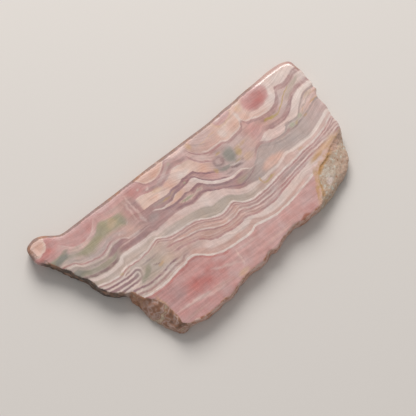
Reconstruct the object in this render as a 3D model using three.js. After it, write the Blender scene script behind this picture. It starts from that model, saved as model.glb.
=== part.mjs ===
// A polished slice of banded rhodochrosite with a corner of its host rock, lying on its sawn underside.
// Millimetres, +Z up. X runs along the long straight edge, the polished face is up, and the origin is
// at the middle of the underside's box.
import * as THREE from 'three';

// Driving dimensions.
const thickness = 5;        // sawn slice, underside to polished face
const crown = 0.6;          // 0 is a straight chamfer from the rim to the shoulder, 1 a full quarter round
const stepsBetween = 2;     // rings of points for each pair of neighbouring stations
const shoulderBands = 4;    // bands of facets from the rim to the shoulder
const wallBands = 3;        // bands of facets from the shoulder down to the foot

// The outline, counterclockwise seen from above, as stretches that were each cut or broken in their own way.
// A station is [rimX, rimY, footX, footY]: the rim bounds the polished face, the foot bounds the underside.
// drop is the depth of the shoulder, where the side turns down, below the polished face.
// reach is how much of the way from the rim to the foot the shoulder already covers; where the foot is
// set in, a negative reach lets the side bulge out past the rim first.
const stretches = [
  {
    name: 'lower edge, broken square and rubbed',
    drop: 1.4,
    reach: 0.2,
    stations: [
      [-19.0, -21.0, -18.8, -20.6], [-17.0, -21.2, -17.0, -21.1], [-14.5, -21.1, -14.3, -21.0],
      [-12.6, -20.9, -12.5, -20.9], [-11.4, -20.6, -11.3, -20.4], [-9.6, -20.8, -9.6, -20.8],
      [-7.6, -20.2, -7.3, -20.3], [-5.8, -19.7, -5.5, -19.5], [-3.8, -19.2, -3.4, -19.3],
      [-1.6, -18.9, -1.1, -18.8], [1.0, -18.9, 1.4, -19.1], [3.0, -18.6, 3.7, -18.8],
      [4.3, -18.0, 5.0, -18.2], [5.2, -17.6, 5.9, -17.8], [6.3, -18.2, 6.9, -18.3],
      [8.0, -17.9, 8.5, -17.9], [10.2, -17.0, 10.8, -17.0], [12.0, -16.6, 12.3, -16.5],
      [14.2, -16.1, 14.5, -16.2], [16.0, -16.6, 16.1, -16.6], [18.0, -16.8, 18.1, -16.7],
      [20.2, -16.6, 20.3, -16.5],
    ],
  },
  {
    name: 'corner of host rock, a long rough slope',
    drop: 2.3,
    reach: 1,
    stations: [
      [22.4, -16.4, 23.5, -16.4], [23.4, -15.9, 25.1, -16.1], [23.9, -14.9, 26.8, -15.8],
      [25.2, -13.6, 28.6, -15.1], [25.2, -12.3, 30.4, -14.3], [25.9, -11.1, 32.3, -13.7],
      [26.8, -10.0, 34.3, -12.8], [27.0, -8.9, 36.0, -11.5], [28.2, -7.8, 36.9, -10.3],
      [30.3, -7.4, 37.5, -9.1], [32.0, -6.8, 38.0, -7.8], [33.6, -5.7, 38.5, -6.3],
      [35.5, -5.0, 39.1, -5.1], [37.4, -4.5, 39.8, -4.1],
    ],
  },
  {
    name: 'right end, stepped where the layers broke',
    drop: 0.8,
    reach: 1,
    stations: [
      [39.0, -3.3, 40.2, -2.8], [39.8, -1.9, 40.6, -1.6], [39.9, -0.2, 40.4, 0.0],
      [40.1, 2.0, 40.7, 2.1], [40.4, 4.2, 41.1, 4.5], [40.1, 6.6, 40.8, 6.9],
      [40.6, 8.2, 41.3, 8.2], [41.4, 9.2, 42.2, 9.3], [41.2, 10.2, 41.8, 10.3],
      [41.5, 11.1, 42.3, 11.1], [41.2, 12.8, 42.1, 12.9], [41.4, 14.9, 42.3, 15.2],
      [41.1, 16.8, 41.9, 16.9], [40.6, 18.2, 41.7, 19.3], [39.4, 18.9, 40.3, 20.3],
    ],
  },
  {
    name: 'long straight edge, sawn and rounded over, and the top of the tip',
    drop: 1.1,
    reach: 1,
    stations: [
      [37.6, 19.1, 37.4, 20.9], [34.0, 19.1, 34.0, 20.8], [30.0, 19.0, 30.2, 20.4],
      [25.2, 18.8, 25.2, 20.1], [22.6, 18.5, 22.8, 19.7], [19.5, 18.2, 19.6, 19.6],
      [14.0, 17.9, 14.2, 19.0], [8.0, 17.6, 8.0, 18.9], [2.0, 17.4, 2.0, 18.8],
      [-5.0, 17.4, -5.0, 18.7], [-12.0, 17.2, -12.0, 18.4], [-20.0, 16.9, -20.0, 18.2],
      [-27.0, 16.8, -27.0, 18.0], [-32.0, 16.7, -31.8, 17.8], [-33.8, 17.0, -33.5, 18.0],
      [-35.6, 18.2, -35.2, 19.1], [-37.4, 19.3, -37.0, 20.4], [-39.2, 19.6, -38.8, 21.1],
      [-40.6, 19.4, -41.0, 20.7], [-41.6, 18.8, -42.3, 19.9],
    ],
  },
  {
    name: 'end of the tip, bulging below the rim and then undercut',
    drop: 1.1,
    reach: -0.5,
    stations: [
      [-42.2, 17.6, -41.3, 17.7], [-42.2, 16.0, -41.4, 16.5], [-41.3, 14.2, -40.4, 14.7],
    ],
  },
  {
    name: 'crusted edge from the tip down to the notch',
    drop: 1.1,
    reach: 0.3,
    stations: [
      [-39.7, 12.0, -39.4, 12.1], [-38.1, 9.7, -38.2, 9.7], [-37.1, 8.4, -37.5, 8.1],
      [-36.8, 6.8, -36.8, 6.9], [-36.4, 5.3, -35.9, 5.6], [-35.0, 4.2, -35.2, 4.1],
      [-34.2, 2.4, -34.9, 2.1], [-34.1, 0.9, -34.4, 0.8], [-33.0, -1.3, -33.2, -1.5],
      [-32.2, -2.8, -32.0, -2.7], [-31.2, -4.0, -30.8, -3.4], [-29.6, -4.9, -29.3, -4.4],
    ],
  },
  {
    name: 'broken face, sloping out to the foot',
    drop: 4.2,
    reach: 1,
    stations: [
      [-28.0, -5.2, -29.0, -5.0], [-27.5, -6.2, -29.2, -6.0], [-26.6, -8.4, -28.8, -7.8],
      [-24.5, -10.5, -28.4, -9.9], [-23.6, -12.0, -28.3, -11.6], [-23.1, -14.0, -27.8, -13.5],
      [-22.8, -16.0, -27.0, -15.5], [-22.7, -17.6, -26.0, -17.5], [-23.1, -19.0, -24.8, -19.7],
      [-22.2, -19.8, -23.2, -20.6], [-20.8, -20.5, -21.0, -20.3],
    ],
  },
];

// Three closed guides through the stations: the rim, the shoulder below it, and the foot.
function makeGuides() {
  const rim = [];
  const shoulder = [];
  const foot = [];
  for (const { drop, reach, stations } of stretches) {
    for (const [rimX, rimY, footX, footY] of stations) {
      const rimPoint = new THREE.Vector3(rimX, rimY, thickness);
      const footPoint = new THREE.Vector3(footX, footY, 0);
      const shoulderPoint = rimPoint.clone().lerp(footPoint, reach);
      shoulderPoint.z = thickness - drop;
      rim.push(rimPoint);
      shoulder.push(shoulderPoint);
      foot.push(footPoint);
    }
  }
  const closedCurve = (points) => new THREE.CatmullRomCurve3(points, true, 'centripetal');
  return { rim: closedCurve(rim), shoulder: closedCurve(shoulder), foot: closedCurve(foot), count: rim.length };
}

// The points of one section through the edge, from the rim round the shoulder and down to the foot.
function sectionPoints(rim, shoulder, foot) {
  const points = [];
  for (let band = 0; band <= shoulderBands; band += 1) {
    const along = band / shoulderBands;
    const angle = along * Math.PI / 2;
    const out = THREE.MathUtils.lerp(along, Math.sin(angle), crown);
    const down = THREE.MathUtils.lerp(along, 1 - Math.cos(angle), crown);
    const point = rim.clone().lerp(shoulder, out);
    point.z = THREE.MathUtils.lerp(rim.z, shoulder.z, down);
    points.push(point);
  }
  for (let band = 1; band <= wallBands; band += 1) {
    points.push(shoulder.clone().lerp(foot, band / wallBands));
  }
  return points;
}

// The slice as one closed solid: the side is a loft of the sections, and two flat faces close it.
function sliceGeometry() {
  const guides = makeGuides();
  const sectionCount = guides.count * stepsBetween;
  const sections = [];
  for (let i = 0; i < sectionCount; i += 1) {
    const t = i / sectionCount;
    sections.push(sectionPoints(guides.rim.getPoint(t), guides.shoulder.getPoint(t), guides.foot.getPoint(t)));
  }
  const ringCount = shoulderBands + wallBands + 1;
  const indexOf = (section, ring) => (section % sectionCount) * ringCount + ring;
  const indices = [];
  for (let section = 0; section < sectionCount; section += 1) {
    for (let ring = 0; ring + 1 < ringCount; ring += 1) {
      const upperHere = indexOf(section, ring);
      const upperNext = indexOf(section + 1, ring);
      const lowerHere = indexOf(section, ring + 1);
      const lowerNext = indexOf(section + 1, ring + 1);
      indices.push(upperHere, lowerHere, lowerNext);
      indices.push(upperHere, lowerNext, upperNext);
    }
  }

  // ShapeUtils turns its triangles the same way as the outline, counterclockwise seen from above.
  const capTriangles = (ring) => {
    const outline = sections.map((section) => new THREE.Vector2(section[ring].x, section[ring].y));
    return THREE.ShapeUtils.triangulateShape(outline, []);
  };
  const footRing = ringCount - 1;
  for (const [a, b, c] of capTriangles(0)) {
    indices.push(indexOf(a, 0), indexOf(b, 0), indexOf(c, 0));
  }
  for (const [a, b, c] of capTriangles(footRing)) {
    indices.push(indexOf(a, footRing), indexOf(c, footRing), indexOf(b, footRing));
  }

  const geometry = new THREE.BufferGeometry().setFromPoints(sections.flat());
  geometry.setIndex(indices);
  geometry.computeVertexNormals();
  return geometry;
}

// Moves a geometry so that the middle of its box's underside is the origin.
function standOnOrigin(geometry) {
  geometry.computeBoundingBox();
  const { min, max } = geometry.boundingBox;
  geometry.translate(-(min.x + max.x) / 2, -(min.y + max.y) / 2, -min.z);
  return geometry;
}

const rhodochrosite = new THREE.MeshStandardMaterial({ color: 0xc99a94, roughness: 0.25, metalness: 0 });
const slice = new THREE.Mesh(standOnOrigin(sliceGeometry()), rhodochrosite);
slice.name = 'rhodochrosite_slice';

const model = new THREE.Group();
model.add(slice);

export default model;
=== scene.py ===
import math

import bmesh
import bpy
import numpy as np
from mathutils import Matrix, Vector, kdtree, noise


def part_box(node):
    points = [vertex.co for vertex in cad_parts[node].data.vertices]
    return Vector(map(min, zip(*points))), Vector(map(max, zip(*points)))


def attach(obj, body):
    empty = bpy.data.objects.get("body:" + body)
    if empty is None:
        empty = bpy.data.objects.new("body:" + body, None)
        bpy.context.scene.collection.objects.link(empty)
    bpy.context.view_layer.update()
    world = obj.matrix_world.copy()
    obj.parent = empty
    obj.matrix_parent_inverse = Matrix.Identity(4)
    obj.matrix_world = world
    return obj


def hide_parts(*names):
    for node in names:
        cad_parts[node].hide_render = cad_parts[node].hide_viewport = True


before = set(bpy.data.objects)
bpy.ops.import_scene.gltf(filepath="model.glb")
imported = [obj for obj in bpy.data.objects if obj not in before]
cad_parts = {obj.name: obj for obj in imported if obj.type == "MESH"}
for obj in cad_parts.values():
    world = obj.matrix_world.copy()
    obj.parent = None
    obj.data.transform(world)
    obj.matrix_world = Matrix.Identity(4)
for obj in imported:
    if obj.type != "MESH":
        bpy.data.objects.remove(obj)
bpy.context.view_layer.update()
mm = 0.001
sliceNode = "rhodochrosite_slice"
sliceLow, sliceHigh = (Vector(corner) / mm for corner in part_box(sliceNode))
thickness = sliceHigh.z - sliceLow.z
print("frame loaded, slice is", [round(side, 2) for side in sliceHigh - sliceLow], "mm")


# one sRGB hex value to linear red, green, blue and alpha
def linear(hexCode):
    channels = [int(hexCode[i:i + 2], 16) / 255 for i in (0, 2, 4)]
    return [c / 12.92 if c <= 0.04045 else ((c + 0.055) / 1.055) ** 2.4 for c in channels] + [1]


# one shader node with its settings; an input is a value, a socket, or a node whose first output it takes
def addNode(tree, kind, inputs=None, **settings):
    node = tree.nodes.new("ShaderNode" + kind)
    for name, value in settings.items():
        setattr(node, name, value)
    for socket, value in (inputs or {}).items():
        if isinstance(value, bpy.types.Node):
            value = value.outputs[0]
        if isinstance(value, bpy.types.NodeSocket):
            tree.links.new(value, node.inputs[socket])
        else:
            node.inputs[socket].default_value = value
    return node


# 0 below edge0, 1 above edge1, and smooth between, for numbers and for arrays
def smoothStep(edge0, edge1, value):
    t = np.clip((value - edge0) / (edge1 - edge0), 0, 1)
    return t * t * (3 - 2 * t)


# the slice's mesh is the CAD solid, remeshed fine enough to carry chips and grain; sizes are in mm
relief = {
    "voxel": 0.27,                # remesh cell
    "flatWithin": 0.12,           # a point this close to a sawn face belongs to it
    "facing": 0.93,               # if its normal points this squarely up or down
    "skinReach": (0.75, 0.05),    # from the side, where the weathered skin ends and where it is full
    "wornWithin": 1.2,            # from the side, how far in the wear is worked out
    "rockGrain": 0.24,            # depth of the grains in the host rock
    "rockGrainSize": 0.9,
    "hackle": 0.55,               # depth of the steps on the broken face
    "hackleSize": 2.1,
    "crust": 0.30,                # depth of the knobs of the weathered edge
    "crustSize": 1.1,
    "rubbed": 0.16,               # depth of the unevenness along the lower edge
    "rubbedSize": 1.3,
    "layerSteps": 0.16,           # depth of the steps where the layers broke at the right end
    "layerStepSize": 0.6,
    "sawn": 0.03,                 # waviness of the long sawn edge
    "chip": 0.44,                 # depth of the nicks along the rim of the polished face
    "chipSize": 0.9,
    "rubs": 12,                   # rounds of smoothing
    "rubAll": 0.15,               # how far a round draws a point toward its neighbours, but in the host rock
    "rubSawn": 0.6,               # and how much further on the sawn edge
    "inset": 0.002,               # kept clear inside the CAD box
}

# the regions of the side: where each begins and where it is full
regions = {
    "rock": (-0.2, 0.4),          # past the rock's border
    "breakX": (-19.5, -21.5),
    "breakY": (-4.4, -5.6),
    "crustX": (-28.0, -30.0),
    "crustY": (15.5, 13.5),
    "sawnY": (15.5, 17.0),
    "rightX": (38.0, 39.0),
    "lowerY": (-10, -14),
}

# where the host rock begins, from the lower edge up and round to the right end
rockBorder = [
    (21.6, -19.0), (22.6, -16.3), (24.0, -14.9), (25.0, -13.3), (25.4, -12.0), (26.2, -10.6), (27.3, -9.0),
    (28.4, -7.9), (30.3, -7.3), (32.0, -6.6), (33.8, -5.4), (36.0, -4.7), (38.5, -3.9), (42.5, -2.8),
]


# distance of each point from a path in plan, positive on the right of the path's direction
def sideOfPath(points, path):
    best = np.full(len(points), np.inf)
    signed = np.zeros(len(points))
    for start, end in zip(path, path[1:]):
        start, end = np.array(start), np.array(end)
        along = end - start
        t = np.clip(((points - start) @ along) / (along @ along), 0, 1)
        gap = points - (start + t[:, None] * along)
        distance = np.hypot(gap[:, 0], gap[:, 1])
        side = gap[:, 0] * along[1] - gap[:, 1] * along[0]
        closer = distance < best
        best[closer] = distance[closer]
        signed[closer] = np.where(side[closer] > 0, distance[closer], -distance[closer])
    return signed


def buildSliceMesh():
    merged = bmesh.new()
    merged.from_mesh(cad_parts[sliceNode].data)
    bmesh.ops.remove_doubles(merged, verts=merged.verts, dist=0.001 * mm)
    bmesh.ops.recalc_face_normals(merged, faces=merged.faces)
    rawMesh = bpy.data.meshes.new("sliceRaw")
    merged.to_mesh(rawMesh)
    merged.free()
    raw = bpy.data.objects.new("sliceRaw", rawMesh)
    bpy.context.scene.collection.objects.link(raw)
    remesh = raw.modifiers.new("remesh", "REMESH")
    remesh.mode = "VOXEL"
    remesh.voxel_size = relief["voxel"] * mm
    remesh.use_smooth_shade = True
    graph = bpy.context.evaluated_depsgraph_get()
    mesh = bpy.data.meshes.new_from_object(raw.evaluated_get(graph))
    bpy.data.objects.remove(raw)
    bpy.data.meshes.remove(rawMesh)
    mesh.name = "slice"
    return mesh


# a mesh's points in mm, one row each
def pointsOf(mesh):
    points = np.empty(len(mesh.vertices) * 3)
    mesh.vertices.foreach_get("co", points)
    return points.reshape(-1, 3) / mm


# fractal noise at each point, about -1 to 1, for features of the given size
def roughness(points, size, seed, octaves=3):
    shift = Vector((seed * 17.3, seed * 5.1, seed * 9.7))
    return np.array([noise.fractal(Vector(p) / size + shift, 1.0, 2.0, octaves) for p in points])


# plateaus of random height with steps between them, as on a cleaved or hackly break
def plateaus(points, size, seed):
    shift = Vector((seed * 3.7, seed * 11.9, seed * 6.3))
    heights = []
    for p in points:
        gaps, cells = noise.voronoi(Vector(p) / size + shift)
        heights.append(noise.cell(cells[0] * 7.7) * 0.8 + gaps[0] * 0.5)
    return np.array(heights)


def wearSliceMesh(mesh):
    count = len(mesh.vertices)
    points = pointsOf(mesh)
    normals = np.array([tuple(vertex.normal) for vertex in mesh.vertices])
    x, y, z = points.T
    onTop = (z > thickness - relief["flatWithin"]) & (normals[:, 2] > relief["facing"])
    onFloor = (z < relief["flatWithin"]) & (normals[:, 2] < -relief["facing"])
    z[onTop] = thickness
    z[onFloor] = 0

    # distance from each point to the nearest point of the side, in plan
    side = np.flatnonzero(~(onTop | onFloor))
    tree = kdtree.KDTree(len(side))
    for i in side:
        tree.insert((x[i], y[i], 0), int(i))
    tree.balance()
    fromSide = np.array([tree.find((x[i], y[i], 0))[2] for i in range(count)])
    skin = smoothStep(*relief["skinReach"], fromSide)
    skin[side] = 1
    rock = sideOfPath(points[:, :2], rockBorder)

    # the regions of the side, each worn in its own way
    sunk = np.zeros(count)
    near = np.flatnonzero((fromSide < relief["wornWithin"]) | (rock > -1))
    worn = points[near]
    wornX, wornY = x[near], y[near]
    inRock = smoothStep(*regions["rock"], rock[near])
    inBreak = smoothStep(*regions["breakX"], wornX) * smoothStep(*regions["breakY"], wornY)
    inCrust = smoothStep(*regions["crustX"], wornX) * smoothStep(*regions["crustY"], wornY) * (1 - inBreak)
    inSaw = smoothStep(*regions["sawnY"], wornY) * (1 - inCrust)
    inRight = smoothStep(*regions["rightX"], wornX) * (1 - inRock) * (1 - inSaw)
    inLower = smoothStep(*regions["lowerY"], wornY) * (1 - inBreak) * (1 - inRock)
    grain = roughness(worn, relief["rockGrainSize"], 1, 4) * 0.6 + roughness(worn, 3.1, 2) * 0.6
    hackle = plateaus(worn, relief["hackleSize"], 3) * 0.7 + roughness(worn, 0.8, 4, 4) * 0.3
    knobs = roughness(worn, relief["crustSize"], 5)
    rubbed = roughness(worn, relief["rubbedSize"], 6)
    drawnAlongLayers = worn * np.array([0.15, 1, 0.4])
    layerSteps = roughness(drawnAlongLayers, relief["layerStepSize"], 7)
    sunk[near] = skin[near] * (
        inRock * relief["rockGrain"] * (0.4 + grain)
        + inBreak * relief["hackle"] * hackle
        + inCrust * relief["crust"] * (0.35 + knobs)
        + inSaw * relief["sawn"] * rubbed
        + inRight * relief["layerSteps"] * (0.3 + layerSteps)
        + inLower * relief["rubbed"] * (0.3 + rubbed)
    )

    # nicks along the polished face's rim, everywhere but along the sawn edge
    nicks = np.clip(roughness(worn, relief["chipSize"], 8) - 0.05, 0, 1)
    nicks = nicks * smoothStep(0.9, 0.1, fromSide[near]) * (1 - inSaw)
    top = onTop[near]
    z[near[top]] -= relief["chip"] * nicks[top]
    sideways = ~onTop & ~onFloor
    for axis in range(3):
        points[sideways, axis] -= (sunk * normals[:, axis])[sideways]
        low, high = sliceLow[axis] + relief["inset"], sliceHigh[axis] - relief["inset"]
        points[:, axis] = np.clip(points[:, axis], low, high)

    # the edges were rubbed smooth afterwards, the sawn one most: each point is drawn toward its neighbours
    ease = np.zeros(count)
    ease[near] = inSaw * relief["rubSawn"] + relief["rubAll"]
    ease[rock > -0.5] = 0
    ends = np.empty(len(mesh.edges) * 2, dtype=np.int32)
    mesh.edges.foreach_get("vertices", ends)
    ends = ends.reshape(-1, 2)
    degree = np.bincount(ends.ravel(), minlength=count)
    for rub in range(relief["rubs"]):
        around = np.zeros((count, 3))
        np.add.at(around, ends[:, 0], points[ends[:, 1]])
        np.add.at(around, ends[:, 1], points[ends[:, 0]])
        points += ease[:, None] * (around / degree[:, None] - points)
        points[onTop & (fromSide > 0.3), 2] = thickness
        points[onFloor, 2] = 0
    mesh.vertices.foreach_set("co", (points * mm).ravel())
    mesh.update()
    for name, value in {"skin": skin, "fromSide": fromSide, "rock": rock}.items():
        attribute = mesh.attributes.new(name, "FLOAT", "POINT")
        attribute.data.foreach_set("value", value.astype(np.float32))
    print("slice mesh worn,", count, "points")


sliceMesh = buildSliceMesh()
wearSliceMesh(sliceMesh)
slicePiece = bpy.data.objects.new("bandedSlice", sliceMesh)
bpy.context.scene.collection.objects.link(slicePiece)

# the courses that the layers follow across the face: given points in mm, left to right
courses = {
    # a thin white thread tops the rose zone
    "roseTop": [
        (-27, -7.8), (-23, -8.6), (-20, -8.4), (-16, -7.7), (-13, -7.4), (-12, -6.9), (-10, -7.1),
        (-8, -8.5), (-6, -9.7), (-3, -10.8), (2, -11.1), (5, -10.9), (7, -10.2), (9, -10.6), (12, -11.2),
        (16, -11), (20, -10.3), (24, -9.3), (28, -8.2),
    ],
    "paleFoot": [
        (-12, -5.8), (-8, -6.6), (-5, -8.3), (-3, -8.9), (3, -9.3), (5, -9.1), (7, -8.6), (10, -9.7),
        (14, -10.1), (18, -9.4), (22, -8.4), (28, -6.8),
    ],
    "paleTop": [
        (-14, -3.2), (-10, -3.7), (-8, -4.1), (-6, -4.9), (-4, -6.5), (0, -7.2), (2, -7.5), (4, -7.4),
        (6, -7.1), (7, -7.2), (8, -7.6), (10, -8.2), (14, -8.1), (18, -7.1), (24, -5.9), (28, -5.1),
    ],
    "midThread": [
        (-14, -0.9), (-10, -1.6), (-8, -2), (-6, -2.4), (-4, -3.3), (-2, -4.3), (0, -4.9), (2, -5.2),
        (4, -5.2), (6.5, -4.6), (8, -5.4), (10, -6.1), (12, -6.4), (14, -6.1), (18, -5.6), (24, -4.7),
        (28, -4), (32, -3.5), (36, -3.1), (39.5, -2.2),
    ],
    "greigeFoot": [
        (-34, 1.4), (-32, 0.7), (-28, 0.1), (-26, 0.8), (-25, 0.9), (-23, 0.7), (-20, 0.9), (-16, 2),
        (-15, 2.3), (-14, 1.7), (-12, 0.6), (-10, 0.4), (-5, 0.1), (-3, -0.7), (-1, -1.9), (2, -2.6),
        (4, -2.3), (6, -1.7), (7, -2.6), (9, -3.9), (12, -4.5), (16, -4), (20, -3.2), (24, -2.8), (28, -2),
        (32, -1.6), (36, -0.6), (38, 0.2), (40, 1.2),
    ],
    "creamFoot": [
        (-34.5, 3.1), (-33, 2.4), (-31, 1.9), (-29, 1.7), (-27, 1.7), (-25, 2.2), (-24.5, 3), (-19, 2.9),
        (-15.5, 3.3), (-14, 2.6), (-9, 2.7), (-6, 2.4), (-2, 1.8), (0, 1.2), (1.5, 0.4), (4, 0.5),
        (6, 0.2), (8, -1.2), (10, -2.2), (12, -2.6), (15, -2.3), (18, -2), (22, -1.4), (25, -0.4),
        (27, -0.6), (31, -0.5), (33, -0.3), (35, 0.2), (37, 1), (40, 2.2),
    ],
    "creamTop": [
        (-34.8, 4.2), (-33, 3.4), (-31, 2.9), (-29, 2.6), (-26, 2.9), (-24.5, 3.9), (-23, 4.1), (-19, 4),
        (-15, 4.2), (-13, 3.9), (-11, 4), (-9, 4.4), (-7, 4.6), (-5, 4.3), (-2, 3.7), (0, 4), (2, 4.3),
        (4, 3.5), (6, 2.4), (8, 0.8), (10, -0.5), (13, -1.1), (15, -1.4), (18, -1.2), (22, -0.7),
        (24.7, 0.5), (26, 0.2), (32, 0.4), (34, 0.8), (36, 1.5), (38, 2.4), (40, 3.2),
    ],
    "brownThread": [
        (-8, 5.6), (-5, 5.2), (-2, 4.4), (0, 4.8), (1, 5.1), (2, 5), (4, 3.8), (6, 2.9), (8, 1.9),
        (10, 0.7), (11, 0.3), (12, 0.6), (15, 1.6), (17, 2.6), (18, 3.3), (19, 4.1), (20, 4.9), (21, 5.2),
        (22, 4.9), (23, 4.2), (25, 3.6), (27, 3.4), (29, 3.6), (31, 4.2), (34, 4.9), (37, 6), (40, 7.1),
    ],
    "lensFoot": [
        (-11, 8), (-8, 7.1), (-6, 6.8), (-4, 6.8), (-2, 7.3), (-1, 7), (2, 7.5), (2.7, 7.1), (3.5, 6),
        (5.5, 4.4), (7.5, 3.5), (10.5, 3), (13.5, 3.1), (15, 2.4), (16, 2.1), (18, 3.6), (20, 5.3),
        (22, 5.6),
    ],
    "lensTop": [
        (-11, 8.3), (-8, 7.5), (-6, 7.5), (-4, 8.5), (-2, 8.6), (0, 8.9), (1.2, 9.3), (2, 9.2), (3, 8.1),
        (4, 6.7), (6, 5), (8, 4.2), (10, 3.7), (13, 3.7), (14, 3.3), (16, 2.2), (18, 3.7), (20, 5.4),
        (22, 5.7),
    ],
    "bluntFoot": [
        (-13, 9.8), (-10, 9.9), (-6, 9.7), (-4, 10.4), (-2, 10.3), (0, 10.9), (2.8, 10.9), (3.5, 10.2),
        (5, 8.9), (6, 8.2), (8, 7.5), (10, 7),
    ],
    "bluntTop": [
        (-13, 13.5), (-12, 13.6), (-9, 12.9), (-7, 12.4), (-5, 12.3), (-3, 13), (0, 14.4), (2, 14),
        (4, 13.7), (4.5, 13), (5, 12.2), (6, 11), (7, 10.3), (8, 9.8), (10, 9.2),
    ],
    "rightFoot": [
        (21, 5.9), (22.5, 5.3), (24, 4.7), (26, 4.8), (28, 5), (29.5, 6.2), (33, 6.4), (34, 7), (36, 8.8),
        (38, 10), (40, 10.6),
    ],
    "rightTop": [
        (21, 6.4), (22.5, 7), (23.5, 7.8), (24.5, 7.9), (26.5, 7.1), (29.5, 7), (31, 7.4), (33, 8.5),
        (35, 10.2), (37, 11.3), (40, 11.8),
    ],
    "hookThread": [
        (-37, 9.2), (-35, 8.7), (-33, 7.2), (-30, 6.4), (-28, 6.2), (-26, 6.9), (-25, 7.4), (-23, 7.6),
        (-21, 7), (-20, 6.4), (-17, 6.4),
    ],
    "oliveFoot": [
        (-36, 11.3), (-34, 11), (-32, 9.8), (-31, 9), (-29, 8.8), (-27, 9.6), (-25, 10), (-23, 10.2),
        (-20, 9.9), (-18, 9.6),
    ],
    "oliveTop": [
        (-36, 13.3), (-34, 11.8), (-31, 11.2), (-29, 11.5), (-26, 12.5), (-25, 13.5), (-24.5, 14),
        (-23.5, 14.3), (-22.5, 14), (-20.5, 13.6), (-18, 13.4),
    ],
    "pinkThread": [
        (-36, 16.8), (-34, 14.8), (-33, 13.6), (-31.5, 12.8), (-29.5, 12.7), (-28, 13.1), (-26.5, 13.8),
        (-25.3, 15.2), (-24, 16.4), (-22, 15.7), (-20, 15.5), (-17, 15.2),
    ],
    "lobeFoot": [
        (5, 16.5), (5.5, 15.3), (6.5, 14.1), (8, 13), (10, 12.4), (13.5, 12.5), (15, 11.7), (17, 11.9),
        (20, 12.7), (21.2, 14.3), (21.7, 13.2), (24, 12.4), (26, 11.8), (28, 11.8), (30, 12.3), (32, 13.7),
        (33, 15.5), (33.5, 16.3), (36, 15.9), (38, 16.5), (40, 17.3),
    ],
    # a cream-rimmed lens of peach stone, cut off by the straight edge
    "peachLens": [
        (-10.4, 17.8), (-9.2, 16.3), (-8.5, 15.5), (-7, 15), (-5, 15.1), (-3, 16), (-2, 16.8),
        (-1.2, 17.8),
    ],
    # a pale seam falls from the top of the blunt band beside the lobes
    "fallingSeam": [
        (3.5, 15.2), (4.3, 14), (4.8, 12.9), (5.5, 12), (6.3, 11.2), (7.5, 10.5), (9, 9.7), (11, 10.6),
    ],
    "goldSeam": [
        (26, 10.2), (27, 9.9), (29.5, 9.8), (31, 10.5), (32, 11.1), (33, 11.9), (34, 12.8), (36, 13.9),
        (40, 15.2),
    ],
    # the long axis of a nest of hairpin folds at the left edge
    "hairpinAxis": [(-34, -1.7), (-31, -2.4), (-28, -2.8), (-26, -2.9), (-24, -2.6), (-22, -2.2)],
}

# what colours the layers: purer or leaner manganese carbonate, iron, clay and the rock's own minerals;
# shadedDun is a brown darkened as painted shade for the sawn edge
tones = {
    "white": "DCCDC5", "cream": "D7C3BB", "blush": "D2B7AF", "creamPeach": "DABEB1", "peach": "D4AE9F",
    "apricot": "D0AE91", "salmon": "C6A59B", "rosePale": "C7A09B", "rose": "C39793", "roseDeep": "BA7F7A",
    "brick": "B6726D", "mauveRose": "B38D8A", "mauve": "AB8A87", "mauveDark": "97777A", "plum": "8C7271",
    "lilac": "C0A8A3", "greyPink": "B6A59F", "mauveGrey": "AC9A95", "greige": "C0AEA4",
    "greyBeige": "B4A599", "olive": "A69D86", "oliveGrey": "979180", "slate": "8B8981", "gold": "B59C6B",
    "ochre": "BF9B70", "leafGreen": "ADAE94", "rust": "A2644D", "umber": "493728", "quartz": "C9C5B9",
    "sand": "B9A78F", "stonePink": "C6A996", "fawn": "B08B78", "ashPink": "BBA196", "clay": "B9835F",
    "bark": "6E4F37", "clayDark": "98694E", "soot": "3A2C22", "shadedDun": "80655A", "amber": "B98B52",
}

# under all the bands lies the rose zone
roseZone = [(-24, "rose"), (-12, "rose"), (0, "rosePale"), (22, "rosePale")]

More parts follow.
